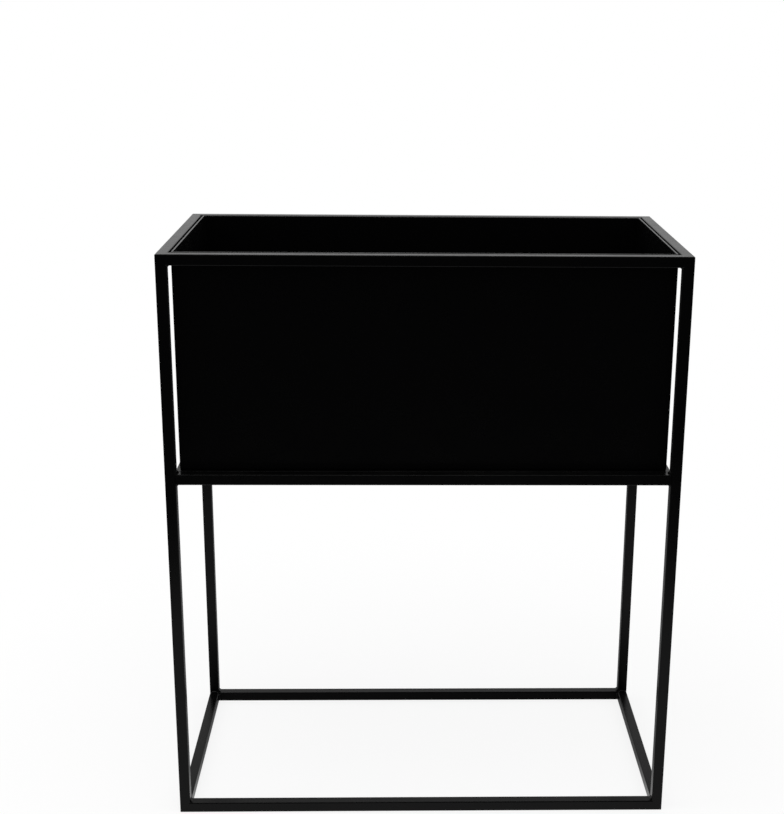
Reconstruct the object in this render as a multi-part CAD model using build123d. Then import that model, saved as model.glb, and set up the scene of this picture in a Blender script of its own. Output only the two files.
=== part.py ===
from build123d import *

import os

# Metal planter box on a welded stand, in millimetres.
# The origin is on the floor, under the middle of the stand. X is the width, -Y the front, Z is up.

# Stand, over the outside of its tubes
stand_width = 600.0
stand_depth = 300.0
stand_height = 700.0
shelf_top = 443.0  # height of the shelf's top face above the floor

# Square tube that the whole stand is welded from
tube_side = 12.7
tube_wall = 1.2
tube_corner = 1.2  # outside radius of the tube's long edges and of the rings' corners
least_radius = 0.1  # inside corners are never drawn sharper than this

# Shelf plate, flush with the tops of the two shelf rails
plate_thickness = 2.0
plate_reach = 2.0  # from the legs' inner faces out to the ends of the plate
plate_stitch_length = 30.0
plate_stitch_count = 4

# Planter box, bent and welded from one gauge of sheet
box_sheet = 2.0
box_bend = 2.0  # inside radius of the bends along the base
box_gap = 3.0  # from the box to the stand, all round
box_rim_drop = 0.0  # from the top of the stand down to the box's rim

# Fillet welds: the length of each of the two sides of the bead
frame_weld = 3.0
plate_weld = 2.5
seam_weld = 1.5
seam_toe = 0.01  # thickness at the outer edge of the bead inside the box
weld_crown = 1.12  # how far the middle of a bead stands out, where 1 is flat

# Places that follow from the sizes above
half_width = stand_width / 2
half_depth = stand_depth / 2
inner_x = half_width - tube_side  # inner face of the legs and of the end rails
inner_y = half_depth - tube_side  # inner face of the front and back rails
centre_x = half_width - tube_side / 2  # centre lines of the legs
centre_y = half_depth - tube_side / 2
tube_flat = tube_side - 2 * tube_corner  # flat part of a tube's face
leg_length = stand_height - 2 * tube_side
box_x = inner_x - box_gap  # outer faces of the box
box_y = inner_y - box_gap
box_height = stand_height - box_rim_drop - shelf_top


def tube_section():
    """Cross-section of the square tube, with its bore."""
    bore = tube_side - 2 * tube_wall
    bore_corner = max(tube_corner - tube_wall, least_radius)
    outside = RectangleRounded(tube_side, tube_side, tube_corner)
    return outside - RectangleRounded(bore, bore, bore_corner)


def level_tube(length):
    """Square-cut tube along X, centred on the origin."""
    return extrude(Plane.YZ * tube_section(), length / 2, both=True)


def upright_tube(length):
    """Square-cut tube along Z, standing on the origin."""
    return extrude(tube_section(), length)


def mitred_tube(length):
    """Tube along X, cut at 45 degrees at each end, its long side facing -Y with the tips ground round."""
    front = -tube_side / 2
    back = tube_side / 2
    short_end = length / 2 - tube_side
    round_x = length / 2 - tube_corner
    round_y = front + tube_corner
    right_tip = CenterArc((round_x, round_y), tube_corner, -90, 45)
    left_tip = CenterArc((-round_x, round_y), tube_corner, -135, 45)
    long_side = Line((-round_x, front), (round_x, front))
    cuts = Polyline(right_tip @ 1, (short_end, back), (-short_end, back), left_tip @ 0)
    outline = make_face([long_side.edge(), right_tip.edge(), *cuts.edges(), left_tip.edge()])
    return level_tube(length) & extrude(outline, tube_side, both=True)


def ring(floor_z):
    """Four mitred rails round the stand, with their undersides at floor_z."""
    z = floor_z + tube_side / 2
    return {
        "front": Pos(0, -centre_y, z) * mitred_tube(stand_width),
        "back": Pos(0, centre_y, z) * Rot(0, 0, 180) * mitred_tube(stand_width),
        "left": Pos(-centre_x, 0, z) * Rot(0, 0, -90) * mitred_tube(stand_depth),
        "right": Pos(centre_x, 0, z) * Rot(0, 0, 90) * mitred_tube(stand_depth),
    }


def bead(length, side):
    """Fillet weld along Y, centred on the origin, filling the corner between +X and +Z."""
    middle = weld_crown * side / 2
    crown = ThreePointArc((side, 0), (middle, middle), (0, side))
    sides = Polyline((0, side), (0, 0), (side, 0))
    return extrude(Plane.XZ * make_face([*sides.edges(), crown.edge()]), length / 2, both=True)


def four_ways(piece):
    """The piece and its mirror images in the stand's two upright middle planes."""
    pair = [piece, mirror(piece, Plane.YZ)]
    return pair + [mirror(one, Plane.XZ) for one in pair]


def corner_beads(rail_face_z, up):
    """Beads in the four corners of a ring: two against each leg and one down each mitre.

    rail_face_z is the ring face that the legs meet, and up is +1 where the legs rise from it.
    """
    turn = Rot(0, 0, 0) if up > 0 else Rot(0, 90, 0)
    across = Pos(-inner_x, -centre_y, rail_face_z) * turn * bead(tube_flat, frame_weld)
    along = Pos(-centre_x, -inner_y, rail_face_z) * Rot(0, 0, 90) * turn * bead(tube_flat, frame_weld)
    mitre_z = rail_face_z - up * tube_side / 2
    mitre = Pos(-inner_x, -inner_y, mitre_z) * Rot(-90, 0, 0) * bead(tube_flat, frame_weld)
    return four_ways(across) + four_ways(along) + four_ways(mitre)


def shelf_end_beads():
    """Beads over and under each end of the two shelf rails, against the legs."""
    above = Pos(-inner_x, -centre_y, shelf_top) * bead(tube_flat, frame_weld)
    below = Pos(-inner_x, -centre_y, shelf_top - tube_side) * Rot(0, 90, 0) * bead(tube_flat, frame_weld)
    return four_ways(above) + four_ways(below)


def plate_stitches():
    """Short beads under the plate, along the inner faces of the shelf rails."""
    pitch = 2 * inner_x / plate_stitch_count
    row = []
    for i in range(plate_stitch_count):
        x = -inner_x + (i + 0.5) * pitch
        corner = Pos(x, -inner_y, shelf_top - plate_thickness) * Rot(0, 0, 90) * Rot(0, 90, 0)
        row.append(corner * bead(plate_stitch_length, plate_weld))
    return row + [mirror(one, Plane.XZ) for one in row]


def u_outline(half, radius, top):
    """Face with a flat base on z = 0, rounded lower corners and straight sides up to top."""
    radius = max(radius, least_radius)
    base = Line((-half + radius, 0), (half - radius, 0))
    right = RadiusArc((half - radius, 0), (half, radius), -radius)
    left = RadiusArc((-half, radius), (-half + radius, 0), -radius)
    sides = Polyline((half, radius), (half, top), (-half, top), (-half, radius))
    return make_face([base.edge(), right.edge(), *sides.edges(), left.edge()])


def inner_outline(inset, top):
    """Outline of the space inside the bent sheet, drawn inwards by inset, in the YZ plane."""
    half = box_y - box_sheet - inset
    return Plane.YZ * Pos(0, box_sheet + inset) * u_outline(half, box_bend - inset, top)


def box_wrapper():
    """Front wall, base and back wall, bent from one sheet."""
    outside = Plane.YZ * u_outline(box_y, box_bend + box_sheet, box_height)
    sheet = extrude(outside, box_x, both=True)
    return sheet - extrude(inner_outline(0, box_height), 2 * box_x, both=True)


def end_panel():
    """Right-hand end of the box, let in between the walls and flush with their edges."""
    face = inner_outline(0, box_height - box_sheet)
    return Pos(box_x - box_sheet, 0, 0) * extrude(face, box_sheet)


def end_seam():
    """Bead inside the right-hand end, down the front corner, along the base and up the back."""
    over_rim = box_height + seam_weld
    space = extrude(inner_outline(0, over_rim), -seam_weld)
    at_panel = inner_outline(seam_weld, over_rim)
    clear = loft([at_panel, Pos(-seam_weld, 0, 0) * inner_outline(seam_toe, over_rim)])
    below_rim = Pos(0, 0, box_height / 2) * Box(4 * seam_weld, 2 * box_y, box_height)
    return Pos(box_x - box_sheet, 0, 0) * ((space - clear) & below_rim)


def build():
    """Every piece, by the name of its file."""
    pieces = {}
    for side, rail in ring(stand_height - tube_side).items():
        pieces[f"top_rail_{side}"] = rail
    for side, rail in ring(0).items():
        pieces[f"bottom_rail_{side}"] = rail
    for end, y in (("front", -centre_y), ("back", centre_y)):
        for hand, x in (("left", -centre_x), ("right", centre_x)):
            pieces[f"leg_{end}_{hand}"] = Pos(x, y, tube_side) * upright_tube(leg_length)
        pieces[f"shelf_rail_{end}"] = Pos(0, y, shelf_top - tube_side / 2) * level_tube(2 * inner_x)
    plate_z = shelf_top - plate_thickness / 2
    plate = Box(2 * (inner_x + plate_reach), 2 * inner_y, plate_thickness)
    pieces["shelf_plate"] = Pos(0, 0, plate_z) * plate
    pieces["top_ring_welds"] = Compound(children=corner_beads(stand_height - tube_side, -1))
    pieces["bottom_ring_welds"] = Compound(children=corner_beads(tube_side, 1))
    pieces["shelf_rail_welds"] = Compound(children=shelf_end_beads())
    pieces["shelf_plate_welds"] = Compound(children=plate_stitches())
    seat = Pos(0, 0, shelf_top)
    pieces["box_wrapper"] = seat * box_wrapper()
    pieces["box_end_right"] = seat * end_panel()
    pieces["box_end_left"] = mirror(pieces["box_end_right"], Plane.YZ)
    seams = [seat * end_seam(), mirror(seat * end_seam(), Plane.YZ)]
    pieces["box_seam_welds"] = Compound(children=seams)
    return pieces


os.makedirs("parts", exist_ok=True)
for name, piece in build().items():
    export_step(piece, f"parts/{name}.step")
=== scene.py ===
import math

import bmesh
import bpy
import numpy as np
from bpy.props import FloatProperty, FloatVectorProperty, IntProperty, PointerProperty
from mathutils import Matrix, Vector


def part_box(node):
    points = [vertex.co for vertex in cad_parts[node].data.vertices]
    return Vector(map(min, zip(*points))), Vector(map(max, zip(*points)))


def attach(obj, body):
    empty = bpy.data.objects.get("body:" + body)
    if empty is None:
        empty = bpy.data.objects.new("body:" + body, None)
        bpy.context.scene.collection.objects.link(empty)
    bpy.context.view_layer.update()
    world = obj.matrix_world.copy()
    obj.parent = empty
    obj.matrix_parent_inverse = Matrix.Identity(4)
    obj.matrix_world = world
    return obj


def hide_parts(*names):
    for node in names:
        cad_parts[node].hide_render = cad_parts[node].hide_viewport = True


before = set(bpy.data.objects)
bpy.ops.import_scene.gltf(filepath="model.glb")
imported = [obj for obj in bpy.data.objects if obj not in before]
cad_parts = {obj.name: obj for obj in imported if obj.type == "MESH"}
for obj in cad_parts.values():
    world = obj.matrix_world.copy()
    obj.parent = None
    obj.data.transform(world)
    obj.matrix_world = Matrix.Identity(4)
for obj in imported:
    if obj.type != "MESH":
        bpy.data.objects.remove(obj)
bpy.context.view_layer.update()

bl_info = {
    "name": "Planter box on stand",
    "version": (1, 0, 0),
    "blender": (4, 5, 0),
    "location": "3D View > Sidebar > Planter",
    "description": "Powder coat, weld beads and a plain studio for a planter box on a tube stand",
    "category": "Object",
}

# One millimetre, in the scene's metres
MM = 0.001

# Nodes that the coat goes on as they are
TUBE_NAMES = ("leg_", "top_rail_", "bottom_rail_", "shelf_rail_")
TUBES = [
    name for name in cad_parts
    if name.startswith(TUBE_NAMES) and not name.endswith("_welds")
]

# Sizes of the CAD that the nodes' boxes don't give
TUBE_CORNER = 1.2 * MM  # outside radius of a tube's long edges
BOX_BEND = 2.0 * MM  # inside radius of the bends along the box's base
STITCH_COUNT = 4  # on each side of the shelf plate
STITCH_LENGTH = 30 * MM

# Patches in the coat, and how much the first two change its roughness
CLOUD_SIZE = 45 * MM
CLOUD_AMOUNT = 0.10
SPECK_SIZE = 6 * MM
SPECK_AMOUNT = 0.06
DUST_SIZE = 70 * MM

# First seeds for the random swell and ripple of each group of beads
SEEDS = {
    "top_ring": 0, "bottom_ring": 5, "shelf_head": 100, "shelf_foot": 110,
    "stitches": 200, "seams": 300,
}

# The four corners of the stand, as signs of X and Y
QUARTERS = [(sx, sy) for sx in (-1, 1) for sy in (-1, 1)]

WHITE = (1.0, 1.0, 1.0, 1.0)


class CoatSettings(bpy.types.PropertyGroup):
    """Black powder coat on tubes, sheet and welds."""

    colour: FloatVectorProperty(
        name="Colour", description="Colour of the coat", subtype="COLOR",
        default=(0.0011, 0.0011, 0.0012), min=0.0, max=1.0,
    )
    dust: FloatVectorProperty(
        name="Dust", description="Colour of the thin dust on faces that look up", subtype="COLOR",
        default=(0.014, 0.0135, 0.0125), min=0.0, max=1.0,
    )
    dust_amount: FloatProperty(
        name="Dust amount", description="How much of the dust's colour shows at most",
        default=0.16, min=0.0, max=1.0, subtype="FACTOR",
    )
    roughness: FloatProperty(
        name="Roughness", description="Mean roughness of the coat",
        default=0.28, min=0.0, max=1.0, subtype="FACTOR",
    )
    gloss: FloatProperty(
        name="Gloss", description="Specular level of the coat",
        default=0.11, min=0.0, max=1.0, subtype="FACTOR",
    )
    peel_size: FloatProperty(
        name="Peel size", description="Distance between two bumps of the coat's orange peel",
        default=1.5 * MM, min=0.2 * MM, subtype="DISTANCE",
    )
    peel_depth: FloatProperty(
        name="Peel depth", description="Height of the coat's orange peel",
        default=0.012 * MM, min=0.0, subtype="DISTANCE",
    )


class SheetSettings(bpy.types.PropertyGroup):
    """Bent and welded sheet of the box and the shelf plate."""

    edge: FloatProperty(
        name="Edge radius", description="Radius to which the coat rounds the sheet's edges",
        default=0.4 * MM, min=0.05 * MM, subtype="DISTANCE",
    )
    wave_size: FloatProperty(
        name="Wave size", description="Distance between two shallow waves in the thin sheet",
        default=190 * MM, min=20 * MM, subtype="DISTANCE",
    )
    wave_depth: FloatProperty(
        name="Wave depth", description="Height of those waves",
        default=0.5 * MM, min=0.0, subtype="DISTANCE",
    )


class WeldSettings(bpy.types.PropertyGroup):
    """Fillet welds of the stand and the box."""

    side: FloatProperty(
        name="Bead side", description="Length of each side of a bead on the stand",
        default=3.0 * MM, min=0.5 * MM, subtype="DISTANCE",
    )
    stitch_side: FloatProperty(
        name="Stitch side", description="Length of each side of a stitch under the shelf plate",
        default=2.5 * MM, min=0.5 * MM, subtype="DISTANCE",
    )
    seam_side: FloatProperty(
        name="Seam side", description="Length of each side of the bead inside the box",
        default=1.5 * MM, min=0.3 * MM, subtype="DISTANCE",
    )
    crown: FloatProperty(
        name="Crown", description="How far the middle of a bead stands out, as a share of its side",
        default=0.06, min=0.0, max=0.12, subtype="FACTOR",
    )
    ripple: FloatProperty(
        name="Ripple", description="Height of the ripples, as a share of the bead's side",
        default=0.035, min=0.0, max=0.1, subtype="FACTOR",
    )
    pitch: FloatProperty(
        name="Pitch", description="Distance from one ripple to the next",
        default=1.5 * MM, min=0.3 * MM, subtype="DISTANCE",
    )
    ground: FloatProperty(
        name="Ground width", description="Width of a weld that is ground flush on an outside face",
        default=3.0 * MM, min=1.0 * MM, subtype="DISTANCE",
    )


class StageSettings(bpy.types.PropertyGroup):
    """Floor, light and camera."""

    floor_radius: FloatProperty(
        name="Floor radius", description="Radius of the round floor",
        default=0.95, min=0.5, subtype="DISTANCE",
    )
    shadow: FloatProperty(
        name="Shadow", description="How much of the floor's own shading shows",
        default=0.16, min=0.0, max=1.0, subtype="FACTOR",
    )
    floor_segments: IntProperty(
        name="Floor segments", description="Sides of the round floor", default=96, min=12,
    )
    focal_length: FloatProperty(
        name="Focal length", description="Focal length of the camera in millimetres",
        default=62.21, min=10.0, subtype="DISTANCE_CAMERA",
    )


class Value:
    """A node's output, on which arithmetic adds Math nodes."""

    def __init__(self, graph, socket):
        self.graph = graph
        self.socket = socket

    def out(self, name):
        """Another output of the same node."""
        return Value(self.graph, self.socket.node.outputs[name])

    def math(self, operation, *terms):
        return self.graph.add("ShaderNodeMath", {"operation": operation}, dict(enumerate(terms)))

    def __add__(self, other):
        return self.math("ADD", self, other)

    def __sub__(self, other):
        return self.math("SUBTRACT", self, other)

    def __rsub__(self, other):
        return self.math("SUBTRACT", other, self)

    def __mul__(self, other):
        return self.math("MULTIPLY", self, other)

class Graph:
    """The nodes of one material or world."""

    def __init__(self, owner):
        owner.use_nodes = True
        self.tree = owner.node_tree
        self.tree.nodes.clear()

    def add(self, kind, settings=None, inputs=None, output=0):
        """Adds a node, sets it, fills its sockets with values or links, and returns an output."""
        node = self.tree.nodes.new(kind)
        for key, value in (settings or {}).items():
            setattr(node, key, value)
        for key, value in (inputs or {}).items():
            if isinstance(value, Value):
                self.tree.links.new(value.socket, node.inputs[key])
            else:
                node.inputs[key].default_value = value
        return Value(self, node.outputs[output]) if len(node.outputs) else None

    def place(self):
        return self.add("ShaderNodeTexCoord", output="Object")

    def noise(self, place, size, detail=2.0):
        """Noise from 0 to 1 whose bumps are about size metres apart."""
        inputs = {"Vector": place, "Scale": 1.0 / size, "Detail": detail}
        return self.add("ShaderNodeTexNoise", None, inputs, "Fac")

    def ramp(self, value, low, high):
        """0 below low, 1 above high and smooth between."""
        inputs = {"Value": value, "From Min": low, "From Max": high}
        return self.add("ShaderNodeMapRange", {"interpolation_type": "SMOOTHSTEP"}, inputs)

    def blend(self, factor, first, second):
        """A colour between two colours."""
        inputs = {"Factor": factor, "A": first, "B": second}
        return self.add("ShaderNodeMix", {"data_type": "RGBA"}, inputs, "Result")


def rgba(colour):
    return (*colour[:3], 1.0)


def powder_coat(name, coat, extra_relief=None, shine=0.0):
    """Black powder coat: orange peel, cloudy gloss and faint dust on faces that look up.

    extra_relief takes the graph and the place and gives more height in millimetres.
    shine lowers the roughness.
    """
    material = bpy.data.materials.new(name)
    g = Graph(material)
    place = g.place()
    peel = g.noise(place, coat.peel_size, 1.0) * (coat.peel_depth / MM)
    fine = g.noise(place, coat.peel_size / 5, 0.0) * (coat.peel_depth / MM / 8)
    relief = peel + fine
    if extra_relief:
        relief = relief + extra_relief(g, place)
    clouds = (g.noise(place, CLOUD_SIZE, 3.0) - 0.5) * CLOUD_AMOUNT
    specks = (g.noise(place, SPECK_SIZE, 4.0) - 0.5) * SPECK_AMOUNT
    roughness = clouds + specks + (coat.roughness - shine)
    facing = g.add("ShaderNodeNewGeometry", output="Normal")
    upward = g.add("ShaderNodeSeparateXYZ", None, {0: facing}, "Z")
    settled = g.ramp(upward, 0.6, 1.0) * g.ramp(g.noise(place, DUST_SIZE, 5.0), 0.35, 0.7)
    tint = g.blend(settled * coat.dust_amount, rgba(coat.colour), rgba(coat.dust))
    normal = g.add("ShaderNodeBump", None, {"Strength": 1.0, "Distance": MM, "Height": relief})
    surface = g.add("ShaderNodeBsdfPrincipled", None, {
        "Base Color": tint,
        "Roughness": roughness,
        "Specular IOR Level": coat.gloss,
        "Normal": normal,
    })
    g.add("ShaderNodeOutputMaterial", None, {"Surface": surface})
    return material


def sheet_waves(sheet):
    """Height of the shallow waves that bending and welding leave in thin sheet."""
    def relief(g, place):
        return g.noise(place, sheet.wave_size, 0.0) * (sheet.wave_depth / MM)
    return relief


def ground_seams(g, place):
    """Height of the mitres that were welded and ground flush, along the ring's four diagonals."""
    top_low, top_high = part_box("top_rail_front")
    bottom_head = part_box("bottom_rail_front")[1].z
    half_width = top_high.x
    half_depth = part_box("top_rail_right")[1].y
    x = g.add("ShaderNodeSeparateXYZ", None, {0: place}, "X")
    y = x.out("Y")
    z = x.out("Z")
    ring = 1.0 - g.ramp(z, bottom_head, bottom_head + MM)
    ring = ring + g.ramp(z, top_low.z - MM, top_low.z)
    off = x.math("ABSOLUTE", x) - y.math("ABSOLUTE", y) - (half_width - half_depth)
    near = 1.0 - g.ramp(off.math("ABSOLUTE", off), 0.6 * MM, 2.4 * MM)
    grinding = g.noise(place, 2.2 * MM, 2.0) * 0.05 - 0.02
    return near * ring * grinding


def put_on(material, names):
    """Gives CAD nodes a material in every slot they have."""
    for name in names:
        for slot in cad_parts[name].material_slots:
            slot.material = material


def rounded_sheet(node, material, edge):
    """Copy of a CAD node whose sharp edges are rounded as a thick coat rounds them.

    The copy's flat triangles are merged first, so that only real edges are rounded, and the
    normals of its large faces are kept level afterwards.
    """
    same_point = 0.002 * MM
    same_plane = math.radians(0.5)
    sharp_edge = math.radians(40)
    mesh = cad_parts[node].data.copy()
    work = bmesh.new()
    work.from_mesh(mesh)
    bmesh.ops.remove_doubles(work, verts=work.verts, dist=same_point)
    bmesh.ops.dissolve_limit(work, angle_limit=same_plane, verts=work.verts, edges=work.edges)
    for face in work.faces:
        face.smooth = True
    work.to_mesh(mesh)
    work.free()
    mesh.materials.clear()
    mesh.materials.append(material)
    piece = bpy.data.objects.new(f"{node}_coated", mesh)
    bpy.context.collection.objects.link(piece)
    bevel = piece.modifiers.new("edge", "BEVEL")
    bevel.width = edge
    bevel.segments = 3
    bevel.limit_method = "ANGLE"
    bevel.angle_limit = sharp_edge
    level = piece.modifiers.new("flat faces", "WEIGHTED_NORMAL")
    level.mode = "FACE_AREA"
    level.weight = 100
    return piece


def closed_surface(name, rings, material):
    """Mesh through an N x M x 3 array of points: N rings of M points each, with both ends closed.

    Every ring joins the next with quads, round and round, and each end is one flat face.
    """
    count, around = rings.shape[:2]
    row = np.arange(count - 1)[:, None] * around
    here = np.arange(around)[None, :]
    there = (here + 1) % around
    after = row + around
    quads = np.stack([row + here, row + there, after + there, after + here], axis=-1)
    faces = quads.reshape(-1, 4).tolist()
    faces.append(list(range(around))[::-1])
    faces.append(list(range((count - 1) * around, count * around)))
    mesh = bpy.data.meshes.new(name)
    mesh.from_pydata(rings.reshape(-1, 3).tolist(), [], faces)
    work = bmesh.new()
    work.from_mesh(mesh)
    bmesh.ops.recalc_face_normals(work, faces=work.faces)
    work.to_mesh(mesh)
    work.free()
    mesh.shade_smooth()
    mesh.set_sharp_from_angle(angle=math.radians(50))
    mesh.materials.append(material)
    piece = bpy.data.objects.new(name, mesh)
    bpy.context.collection.objects.link(piece)
    return piece


def bead_rings(points, out_a, out_b, side, weld, seed):
    """Rings of a weld bead that fills the corner along points, between out_a and out_b.

    A ring starts in the corner, runs out along out_a by the bead's side, over the crown to the
    end of the other side and back along out_b. Over the crown the point is
    side * ((1 - v) out_a + v out_b), pushed out by crown * sin(pi v) and by a ripple: a raised
    cosine of the distance run, shifted in the middle of the bead as a weld pool shifts it.
    The side swells a little at random and tapers to a round at both ends.
    """
    least_swell = 0.90
    swell_every = 4 * weld.pitch
    round_length = 0.8  # in sides of the bead
    least_taper = 0.05  # under the root
    crown_points = 9
    most_lag = 0.6  # in ripples
    sink = 0.04 * MM  # how far the bead reaches into the metal
    random = np.random.default_rng(seed)
    steps = np.linalg.norm(np.diff(points, axis=0), axis=1)
    run = np.concatenate([[0.0], np.cumsum(steps)])
    length = run[-1]
    knots = np.linspace(0, length, max(4, int(length / swell_every)))
    swell = np.interp(run, knots, random.uniform(least_swell, 1.0, len(knots)))
    from_end = np.minimum(run, length - run) / side
    inwards = np.clip(from_end / round_length, 0, 1)
    taper = np.sqrt(np.clip(1 - (1 - inwards) ** 2, least_taper, 1))
    size = (side * swell * taper)[:, None]
    v = np.linspace(0, 1, crown_points)[None, :]
    lag = most_lag * np.sin(np.pi * v)
    phase = run[:, None] / weld.pitch + lag + random.uniform(0, 1)
    ripple = weld.ripple * (0.5 + 0.5 * np.cos(2 * np.pi * phase)) * np.sin(np.pi * v)
    push = (weld.crown * np.sin(np.pi * v) + ripple) * size
    a = np.concatenate([-sink + 0 * size, size * (1 - v) + push, -sink + 0 * size], axis=1)
    b = np.concatenate([-sink + 0 * size, size * v + push, size], axis=1)
    a[:, 1] = size[:, 0]
    b[:, 1] = -sink
    a[:, -1] = -sink
    along_a = a[..., None] * out_a[:, None, :]
    along_b = b[..., None] * out_b[:, None, :]
    return points[:, None, :] + along_a + along_b


def straight_bead(start, end, out_a, out_b, side, weld, seed):
    """Rings of a bead along a straight corner from start to end."""
    rings_per_ripple = 6
    least_rings = 12
    length = float(np.linalg.norm(np.subtract(end, start)))
    count = max(least_rings, int(length / (weld.pitch / rings_per_ripple)))
    t = np.linspace(0, 1, count)[:, None]
    points = np.asarray(start) * (1 - t) + np.asarray(end) * t
    out_a = np.ones((count, 1)) * np.asarray(out_a)
    out_b = np.ones((count, 1)) * np.asarray(out_b)
    return bead_rings(points, out_a, out_b, side, weld, seed)


def joined(name, beads, material):
    """One object from several bead meshes."""
    made = [closed_surface(f"{name}_{i}", rings, material) for i, rings in enumerate(beads)]
    with bpy.context.temp_override(active_object=made[0], selected_editable_objects=made):
        bpy.ops.object.join()
    made[0].name = name
    made[0].data.name = name
    return made[0]


def stand_corners():
    """The places that the stand's welds follow, in metres, from the packed nodes."""
    leg_low, leg_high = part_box("leg_front_right")
    shelf_low, shelf_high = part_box("shelf_rail_front")
    plate_low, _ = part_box("shelf_plate")
    return {
        "inner_x": leg_low.x, "outer_x": leg_high.x,
        "inner_y": -leg_high.y, "outer_y": -leg_low.y,
        "leg_foot": leg_low.z, "leg_head": leg_high.z,
        "shelf_foot": shelf_low.z, "shelf_head": shelf_high.z, "plate_foot": plate_low.z,
        "tube": leg_high.x - leg_low.x, "corner": TUBE_CORNER,
    }


def ground_rings(points, across, outward, corner, weld):
    """Rings of a weld ground flush, in the groove between a flat face and a tube's rounded edge.

    points run along the joint, across points from the flat face over the groove and outward
    points out of the faces. The outer side goes from v = 0 to 1 across the weld and lies
    crown * sin(pi v) - sink off the faces.
    """
    start = (weld.ground - corner) / 2
    sink = 0.05 * MM
    crown = 0.07 * MM
    depth = 0.9 * MM
    v = np.linspace(0, 1, 11)
    over = np.concatenate([v * weld.ground, [weld.ground, 0]]) - start
    out = np.concatenate([crown * np.sin(np.pi * v) - sink, [-depth, -depth]])
    sideways = over[None, :, None] * across[:, None, :]
    outwards = out[None, :, None] * outward[:, None, :]
    return points[:, None, :] + sideways + outwards


def ground_round_leg(c, sx, sy, joint_z, up, weld):
    """Rings of the ground weld round a leg's two outside faces, where the leg meets a ring.

    The path runs level along one face, turns by a quarter round the leg's edge and runs along
    the other face.
    """
    corner = c["corner"]
    straight = c["tube"] - 2 * corner
    quarter = math.pi / 2 * corner
    s = np.linspace(0, 2 * straight + quarter, 60)
    turn = np.clip((s - straight) / corner, 0, math.pi / 2)
    after = np.clip(s - straight - quarter, 0, None)
    x = c["inner_x"] + corner + np.clip(s, 0, straight) + corner * np.sin(turn)
    y = c["outer_y"] - corner + corner * np.cos(turn) - after
    level = np.ones_like(s)
    points = np.column_stack([sx * x, sy * y, joint_z * level])
    across = np.column_stack([0 * s, 0 * s, -up * level])
    outward = np.column_stack([sx * np.sin(turn), sy * np.cos(turn), 0 * s])
    return ground_rings(points, across, outward, corner, weld)


def ground_shelf_end(c, sx, sy, weld):
    """Rings of the upright ground weld on the outside face, where a shelf rail meets a leg."""
    corner = c["corner"]
    z = np.linspace(c["shelf_foot"] + corner, c["shelf_head"] - corner, 24)
    level = np.ones_like(z)
    points = np.column_stack([sx * c["inner_x"] * level, sy * c["outer_y"] * level, z])
    across = np.column_stack([sx * level, 0 * z, 0 * z])
    outward = np.column_stack([0 * z, sy * level, 0 * z])
    return ground_rings(points, across, outward, corner, weld)


def ring_beads(c, face_z, up, weld):
    """Beads of one ring, three in each corner, and the welds ground flush round its legs.

    Two beads lie against the leg and one runs down the mitre's inner edge. up is 1 where the
    legs rise from the ring and -1 where they hang from it.
    """
    first_seed = SEEDS["bottom_ring"] if up > 0 else SEEDS["top_ring"]
    z_run = (face_z - up * c["corner"], face_z - up * (c["tube"] - c["corner"]))
    rise = (0, 0, up)
    beads = []
    for i, (sx, sy) in enumerate(QUARTERS):
        x, y = sx * c["inner_x"], sy * c["inner_y"]
        x_run = (sx * (c["inner_x"] + c["corner"]), sx * (c["outer_x"] - c["corner"]))
        y_run = (sy * (c["inner_y"] + c["corner"]), sy * (c["outer_y"] - c["corner"]))
        in_x, in_y = (-sx, 0, 0), (0, -sy, 0)
        corners = [
            ((x, y_run[0], face_z), (x, y_run[1], face_z), in_x, rise),
            ((x_run[0], y, face_z), (x_run[1], y, face_z), in_y, rise),
            ((x, y, z_run[0]), (x, y, z_run[1]), in_x, in_y),
        ]
        for k, corner in enumerate(corners):
            beads.append(straight_bead(*corner, weld.side, weld, first_seed + 10 * i + k))
        beads.append(ground_round_leg(c, sx, sy, face_z, up, weld))
    return beads


def shelf_beads(c, weld):
    """Beads over and under both ends of the two shelf rails, and the welds ground flush there."""
    beads = []
    for i, (sx, sy) in enumerate(QUARTERS):
        x = sx * c["inner_x"]
        y_run = (sy * (c["inner_y"] + c["corner"]), sy * (c["outer_y"] - c["corner"]))
        for level, rise in (("shelf_head", 1), ("shelf_foot", -1)):
            ends = [(x, y, c[level]) for y in y_run]
            out = ((-sx, 0, 0), (0, 0, rise))
            beads.append(straight_bead(*ends, *out, weld.side, weld, SEEDS[level] + i))
        beads.append(ground_shelf_end(c, sx, sy, weld))
    return beads


def plate_beads(c, weld):
    """Stitches under the shelf plate, where the CAD has them."""
    pitch = 2 * c["inner_x"] / STITCH_COUNT
    beads = []
    for i in range(STITCH_COUNT):
        x = -c["inner_x"] + (i + 0.5) * pitch
        for sy in (-1, 1):
            y = sy * c["inner_y"]
            ends = [(x + end * STITCH_LENGTH / 2, y, c["plate_foot"]) for end in (-1, 1)]
            out = ((0, -sy, 0), (0, 0, -1))
            seed = SEEDS["stitches"] + 2 * i + sy
            beads.append(straight_bead(*ends, *out, weld.stitch_side, weld, seed))
    return beads


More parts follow.
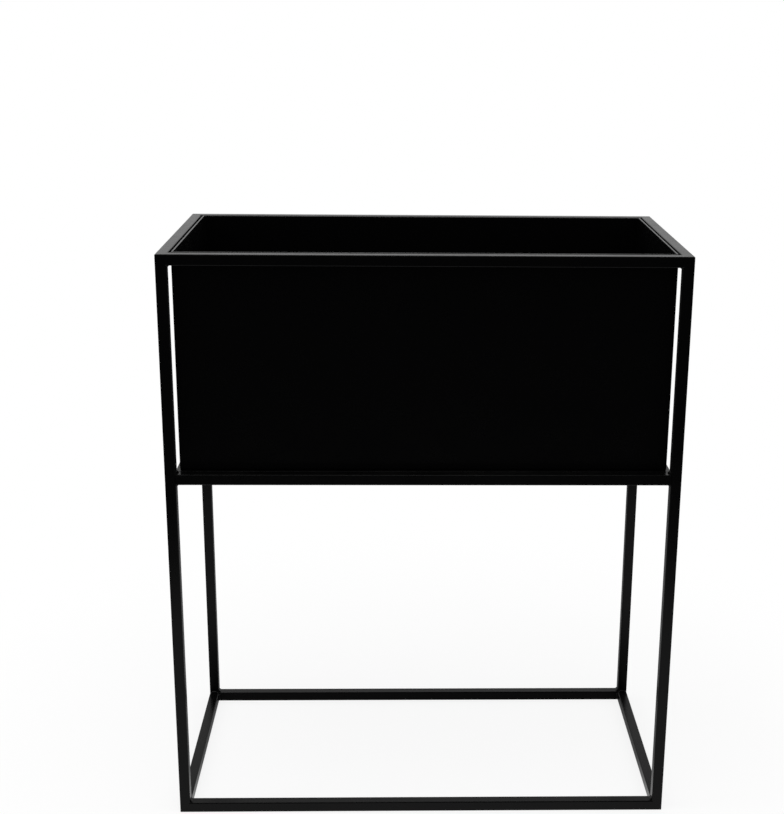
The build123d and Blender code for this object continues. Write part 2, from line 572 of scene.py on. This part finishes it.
def seam_bead(sx, weld):
    """Rings of the bead that closes one end of the box from inside.

    The path goes down the front corner, round the bend, along the base, round the other bend and
    up the back. It turns by s / radius over a distance s on a bend and runs straight elsewhere.
    """
    rings_per_ripple = 4
    panel_low, panel_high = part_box("box_end_right")
    x = sx * panel_low.x
    half, foot, rim = panel_high.y, panel_low.z, panel_high.z
    radius = BOX_BEND
    drop = rim - foot - radius
    base = 2 * (half - radius)
    quarter = math.pi / 2 * radius
    marks = np.cumsum([drop, quarter, base, quarter, drop])
    s = np.linspace(0, marks[-1], int(marks[-1] / (weld.pitch / rings_per_ripple)))
    front_turn, back_turn = [
        np.clip((s - mark) / radius, 0, math.pi / 2) for mark in (marks[0], marks[2])
    ]
    turn = front_turn + back_turn
    along = np.stack([np.sin(turn), -np.cos(turn)], axis=1)
    inward = np.stack([np.cos(turn), np.sin(turn)], axis=1)
    middle = (along[1:] + along[:-1]) / 2 * np.diff(s)[:, None]
    path = np.concatenate([[[-half, rim]], [[-half, rim]] + np.cumsum(middle, axis=0)])
    points = np.column_stack([np.full(len(s), x), path])
    zero = np.zeros(len(s))
    out_a = np.column_stack([zero - sx, zero, zero])
    out_b = np.column_stack([zero, inward])
    return bead_rings(points, out_a, out_b, weld.seam_side, weld, SEEDS["seams"] + sx)


class PLANTER_OT_tubes(bpy.types.Operator):
    """Coat the square tubes of the stand"""

    bl_idname = "planter.tubes"
    bl_label = "Tubes"

    def execute(self, context):
        coat = context.scene.planter_coat
        put_on(powder_coat("tube_coat", coat, ground_seams), TUBES)
        return {"FINISHED"}


class PLANTER_OT_shelf(bpy.types.Operator):
    """Coat the shelf plate and round its edges"""

    bl_idname = "planter.shelf"
    bl_label = "Shelf plate"

    def execute(self, context):
        sheet = context.scene.planter_sheet
        material = powder_coat("shelf_coat", context.scene.planter_coat, sheet_waves(sheet))
        piece = rounded_sheet("shelf_plate", material, sheet.edge)
        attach(piece, "stand")
        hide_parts("shelf_plate")
        return {"FINISHED"}


class PLANTER_OT_box(bpy.types.Operator):
    """Coat the bent sheet and the two ends of the box and round their edges"""

    bl_idname = "planter.box"
    bl_label = "Box"

    def execute(self, context):
        sheet = context.scene.planter_sheet
        material = powder_coat("box_coat", context.scene.planter_coat, sheet_waves(sheet), 0.02)
        for node in ("box_wrapper", "box_end_left", "box_end_right"):
            piece = rounded_sheet(node, material, sheet.edge)
            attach(piece, "planter_box")
            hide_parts(node)
        return {"FINISHED"}


class PLANTER_OT_stand_welds(bpy.types.Operator):
    """Make the rippled beads of the stand"""

    bl_idname = "planter.stand_welds"
    bl_label = "Stand welds"

    def execute(self, context):
        weld = context.scene.planter_weld
        material = powder_coat("weld_coat", context.scene.planter_coat, None, 0.10)
        c = stand_corners()
        groups = {
            "top_ring_welds": ring_beads(c, c["leg_head"], -1, weld),
            "bottom_ring_welds": ring_beads(c, c["leg_foot"], 1, weld),
            "shelf_rail_welds": shelf_beads(c, weld),
            "shelf_plate_welds": plate_beads(c, weld),
        }
        for node, beads in groups.items():
            piece = joined(f"{node}_rippled", beads, material)
            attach(piece, "stand")
            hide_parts(node)
        return {"FINISHED"}


class PLANTER_OT_box_seams(bpy.types.Operator):
    """Make the rippled seams inside the two ends of the box"""

    bl_idname = "planter.box_seams"
    bl_label = "Box seams"

    def execute(self, context):
        weld = context.scene.planter_weld
        material = powder_coat("seam_coat", context.scene.planter_coat, None, 0.08)
        piece = joined("box_seam_welds_rippled", [seam_bead(sx, weld) for sx in (-1, 1)], material)
        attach(piece, "planter_box")
        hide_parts("box_seam_welds")
        return {"FINISHED"}


def floor_disc(stage):
    """Round floor: the point at share r of the radius and angle a is radius * r * (cos a, sin a)."""
    shares = np.linspace(0, 1, 7)[1:]
    n = stage.floor_segments
    angles = np.linspace(0, 2 * np.pi, n, endpoint=False)
    r, a = np.meshgrid(shares * stage.floor_radius, angles, indexing="ij")
    points = np.stack([r * np.cos(a), r * np.sin(a), 0 * r], axis=-1).reshape(-1, 3)
    points = np.concatenate([[[0, 0, 0]], points])
    here = np.arange(n)
    there = (here + 1) % n
    inner = np.stack([0 * here, 1 + here, 1 + there], axis=1).tolist()
    rows = np.arange(len(shares) - 1)[:, None] * n + 1
    quads = np.stack([rows + here, rows + n + here, rows + n + there, rows + there], axis=-1)
    mesh = bpy.data.meshes.new("floor")
    mesh.from_pydata(points.tolist(), [], inner + quads.reshape(-1, 4).tolist())
    floor = bpy.data.objects.new("floor", mesh)
    bpy.context.collection.objects.link(floor)
    return floor


def floor_material(stage):
    """White floor whose shading, with the object's shadow, fades into plain white before its rim.

    In reflections the floor carries painted shade: it is darker from the front of the stand
    backwards.
    """
    # Colour of the painted shade that the floor shows in reflections behind the stand's front
    darker = (0.25, 0.25, 0.25, 1.0)
    material = bpy.data.materials.new("floor_white")
    g = Graph(material)
    camera = g.add("ShaderNodeLightPath", output="Is Camera Ray")
    mirrored = camera.out("Is Glossy Ray")
    seen = camera + mirrored + camera.out("Is Transmission Ray")
    x = g.add("ShaderNodeSeparateXYZ", None, {0: g.place()}, "X")
    y = x.out("Y")
    away = x.math("SQRT", x * x + y * y)
    shading = (1.0 - g.ramp(away, 0.45, 0.9 * stage.floor_radius)) * stage.shadow
    # Painted shade: in reflections the floor's plain white is darkened towards this colour from the
    # stand's front backwards
    reflected_floor_painted_shade = g.blend(mirrored * g.ramp(y, -0.14, 0.0), WHITE, darker)
    lit = g.add("ShaderNodeBsdfDiffuse", None, {"Color": (0.9, 0.9, 0.9, 1.0)})
    plain = g.add("ShaderNodeEmission", None, {"Color": reflected_floor_painted_shade, "Strength": 1.0})
    mixed = g.add("ShaderNodeMixShader", None, {0: seen * (1.0 - shading), 1: lit, 2: plain})
    g.add("ShaderNodeOutputMaterial", None, {"Surface": mixed})
    return material


def studio_world():
    """White to the camera, and in reflections a bright wall with a darker room round it.

    The wall is behind the stand. The room darkens towards the camera, the ceiling and the ground.
    """
    world = bpy.data.worlds.new("studio")
    bpy.context.scene.world = world
    g = Graph(world)
    direction = g.add("ShaderNodeTexCoord", output="Generated")
    away = g.add("ShaderNodeSeparateXYZ", None, {0: direction}, "Y")
    above = away.out("Z")
    path = g.add("ShaderNodeLightPath", output="Is Camera Ray")
    through = path.out("Is Transmission Ray")
    mirrored = path.out("Is Glossy Ray")
    seen = path.math("MAXIMUM", path, through)
    wall = g.ramp(away, -0.35, 0.2)
    ceiling = 1.0 - g.ramp(above, 0.35, 0.9) * 0.75
    ground = g.ramp(above, -0.12, 0.04) * 0.8 + 0.2
    backdrop = mirrored * (wall * ceiling * ground * 0.85 + 0.01)
    ambient = (1.0 - mirrored) * 0.8
    strength = path.math("MAXIMUM", seen, backdrop + ambient)
    shade = g.add("ShaderNodeBackground", None, {"Color": WHITE, "Strength": strength})
    g.add("ShaderNodeOutputWorld", None, {"Surface": shade})


def soft_lamp(name, place, target, width, depth, power):
    """Rectangular lamp that looks at a target."""
    lamp = bpy.data.lights.new(name, "AREA")
    lamp.shape = "RECTANGLE"
    lamp.size = width
    lamp.size_y = depth
    lamp.energy = power
    holder = bpy.data.objects.new(name, lamp)
    bpy.context.collection.objects.link(holder)
    turn = (Vector(target) - Vector(place)).to_track_quat("-Z", "Y")
    holder.matrix_world = Matrix.Translation(place) @ turn.to_matrix().to_4x4()


def photo_camera(stage):
    """Camera at the photograph's place: left of the middle, above the rim and looking down."""
    place = (-29.3 * MM, -1691.5 * MM, 977.8 * MM)
    turn = math.radians(1.513)
    tilt = math.radians(16.35)
    roll = math.radians(0.556)
    camera = bpy.data.cameras.new("camera")
    camera.sensor_width = 36.0
    camera.lens = stage.focal_length
    camera.shift_x = -0.0528
    holder = bpy.data.objects.new("camera", camera)
    bpy.context.collection.objects.link(holder)
    look = Matrix.Rotation(-turn, 4, "Z") @ Matrix.Rotation(math.pi / 2 - tilt, 4, "X")
    holder.matrix_world = Matrix.Translation(place) @ look @ Matrix.Rotation(roll, 4, "Z")
    bpy.context.scene.camera = holder


class PLANTER_OT_stage(bpy.types.Operator):
    """Lay the floor and set the light and the camera"""

    bl_idname = "planter.stage"
    bl_label = "Stage"

    def execute(self, context):
        stage = context.scene.planter_stage
        floor = floor_disc(stage)
        floor.data.materials.append(floor_material(stage))
        studio_world()
        soft_lamp("overhead", (-0.2, -0.35, 2.6), (0, 0, 0.3), 1.6, 1.2, 18)
        soft_lamp("left", (-2.4, -0.6, 1.6), (0, 0, 0.4), 0.6, 1.4, 7)
        soft_lamp("right", (2.4, -0.3, 1.6), (0, 0, 0.4), 0.6, 1.4, 6)
        photo_camera(stage)
        context.scene.view_settings.view_transform = "Standard"
        return {"FINISHED"}


OPERATORS = (
    PLANTER_OT_tubes, PLANTER_OT_shelf, PLANTER_OT_box,
    PLANTER_OT_stand_welds, PLANTER_OT_box_seams, PLANTER_OT_stage,
)
SETTINGS = {
    "planter_coat": CoatSettings,
    "planter_sheet": SheetSettings,
    "planter_weld": WeldSettings,
    "planter_stage": StageSettings,
}


class PLANTER_PT_panel(bpy.types.Panel):
    """Buttons and sizes of the planter"""

    bl_idname = "PLANTER_PT_panel"
    bl_label = "Planter box on stand"
    bl_space_type = "VIEW_3D"
    bl_region_type = "UI"
    bl_category = "Planter"

    def draw(self, context):
        for name, kind in SETTINGS.items():
            group = getattr(context.scene, name)
            box = self.layout.box()
            box.label(text=kind.__doc__)
            for prop in kind.__annotations__:
                box.prop(group, prop)
        for operator in OPERATORS:
            self.layout.operator(operator.bl_idname)


def register():
    for kind in (*SETTINGS.values(), *OPERATORS, PLANTER_PT_panel):
        bpy.utils.register_class(kind)
    for name, kind in SETTINGS.items():
        setattr(bpy.types.Scene, name, PointerProperty(type=kind))


def unregister():
    for name in SETTINGS:
        delattr(bpy.types.Scene, name)
    for kind in (PLANTER_PT_panel, *OPERATORS[::-1], *SETTINGS.values()):
        bpy.utils.unregister_class(kind)


def main():
    register()
    bpy.ops.planter.tubes()
    bpy.ops.planter.shelf()
    bpy.ops.planter.box()
    bpy.ops.planter.stand_welds()
    bpy.ops.planter.box_seams()
    bpy.ops.planter.stage()


if __name__ == "__main__":
    main()
